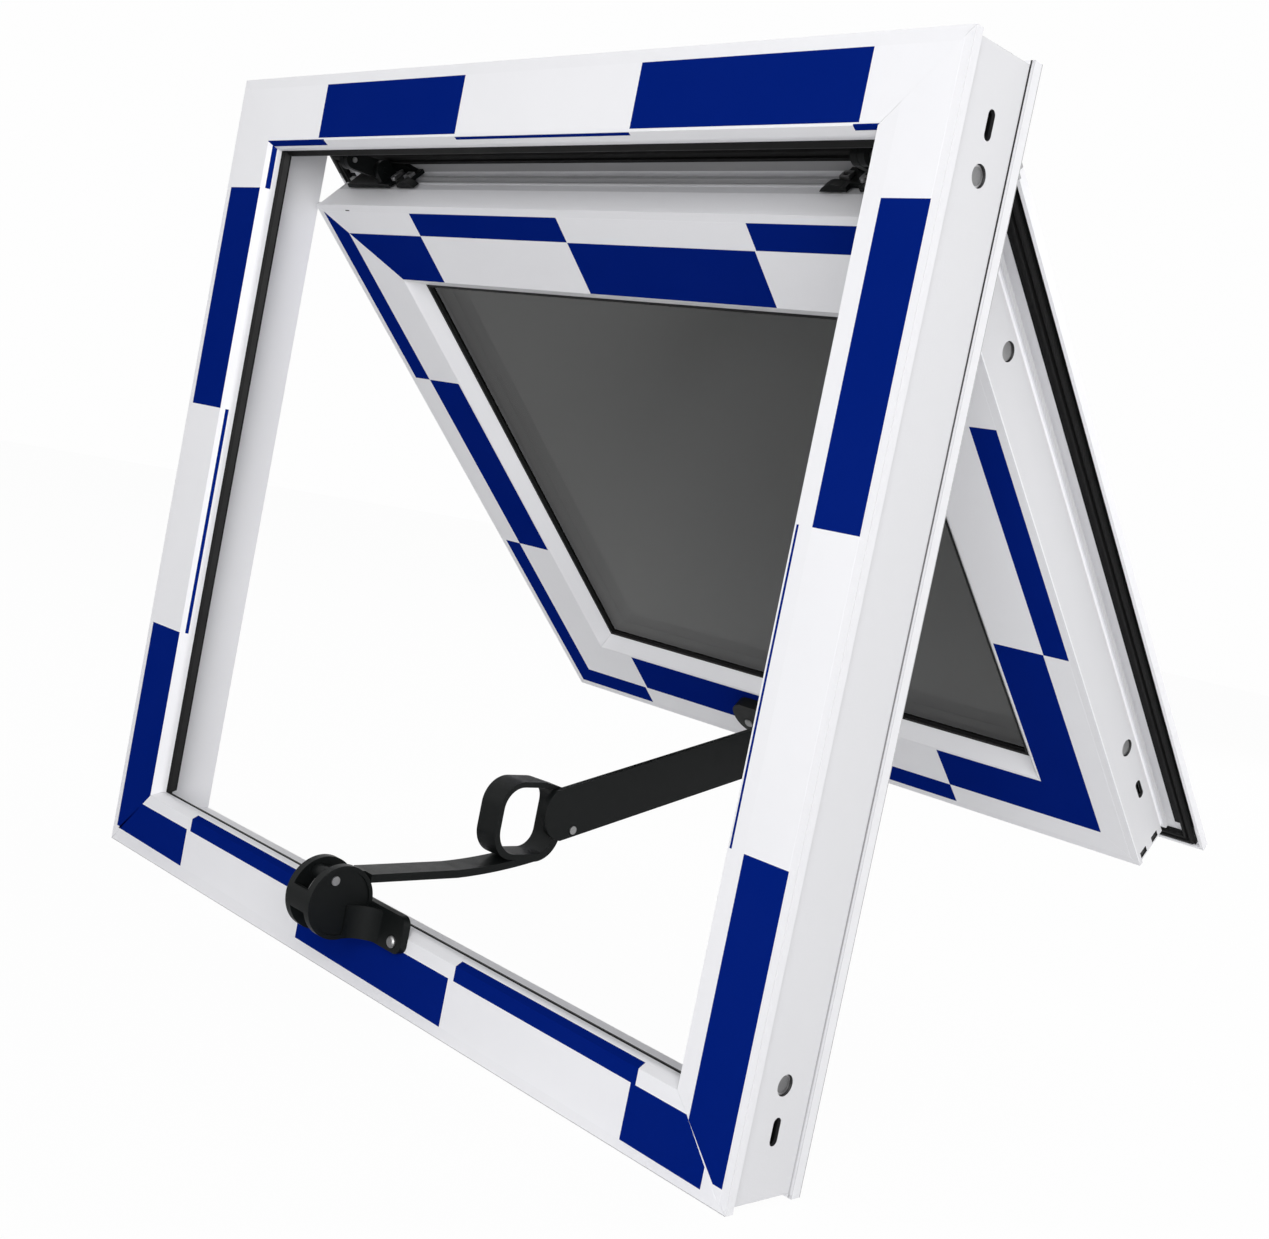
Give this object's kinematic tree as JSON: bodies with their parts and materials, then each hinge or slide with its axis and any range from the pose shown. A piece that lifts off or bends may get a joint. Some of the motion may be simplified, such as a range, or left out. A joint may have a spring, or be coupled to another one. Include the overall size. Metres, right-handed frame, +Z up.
{
  "type": "awning window",
  "caption": "Small top-hung window with mitred white aluminium sections, double glazing and a folding cam handle, its sash standing open.",
  "frame": {"origin": "middle of the sill's flat underside, midway along it and across its depth", "axes": "+X to the right seen from the room, +Y outdoors, +Z up"},
  "size_m": [0.56, 0.4497, 0.5],
  "materials": {
    "frame_coat": "white powder coat, satin",
    "sash_coat": "white powder coat, satin",
    "bead_coat": "white powder coat, satin",
    "seal_rubber": "matte",
    "glazing_rubber": "matte",
    "cleat_aluminium": "mill",
    "pin_steel": "zinc plated",
    "spacer_metal": "dark anodised",
    "black_plastic": "matte",
    "rivet_steel": "satin",
    "black_coat": "black powder coat, satin",
    "glass": "grey tinted, clear"
  },
  "bodies": {
    "root": {"cleat_pins": "pin_steel", "corner_cleat_lower_left": "cleat_aluminium", "corner_cleat_lower_right": "cleat_aluminium", "corner_cleat_upper_left": "cleat_aluminium", "corner_cleat_upper_right": "cleat_aluminium", "frame_gasket_bottom": "seal_rubber", "frame_gasket_left": "seal_rubber", "frame_gasket_right": "seal_rubber", "frame_gasket_top": "seal_rubber", "frame_head": "frame_coat", "frame_jamb_left": "frame_coat", "frame_jamb_right": "frame_coat", "frame_sill": "frame_coat", "glass_spacer": "spacer_metal", "glazing_bead_bottom": "bead_coat", "glazing_bead_left": "bead_coat", "glazing_bead_right": "bead_coat", "glazing_bead_top": "bead_coat", "glazing_gasket_inner": "glazing_rubber", "glazing_gasket_outer": "glazing_rubber", "handle_drum": "rivet_steel", "handle_housing": "black_coat", "handle_rivets": "rivet_steel", "handle_screws": "rivet_steel", "hinge_arm_left": "black_plastic", "hinge_arm_right": "black_plastic", "hinge_bracket_left": "black_plastic", "hinge_bracket_right": "black_plastic", "hinge_links": "rivet_steel", "hinge_plate_left": "black_plastic", "hinge_plate_right": "black_plastic", "hinge_rivets": "rivet_steel", "link_arm": "black_coat", "pane_inner": "glass", "pane_outer": "glass", "sash_bottom_rail": "sash_coat", "sash_bracket": "black_coat", "sash_cleats": "cleat_aluminium", "sash_gasket_bottom": "seal_rubber", "sash_gasket_left": "seal_rubber", "sash_gasket_right": "seal_rubber", "sash_gasket_top": "seal_rubber", "sash_stile_left": "sash_coat", "sash_stile_right": "sash_coat", "sash_top_rail": "sash_coat", "support_arm": "black_coat"}
  },
  "joints": []
}
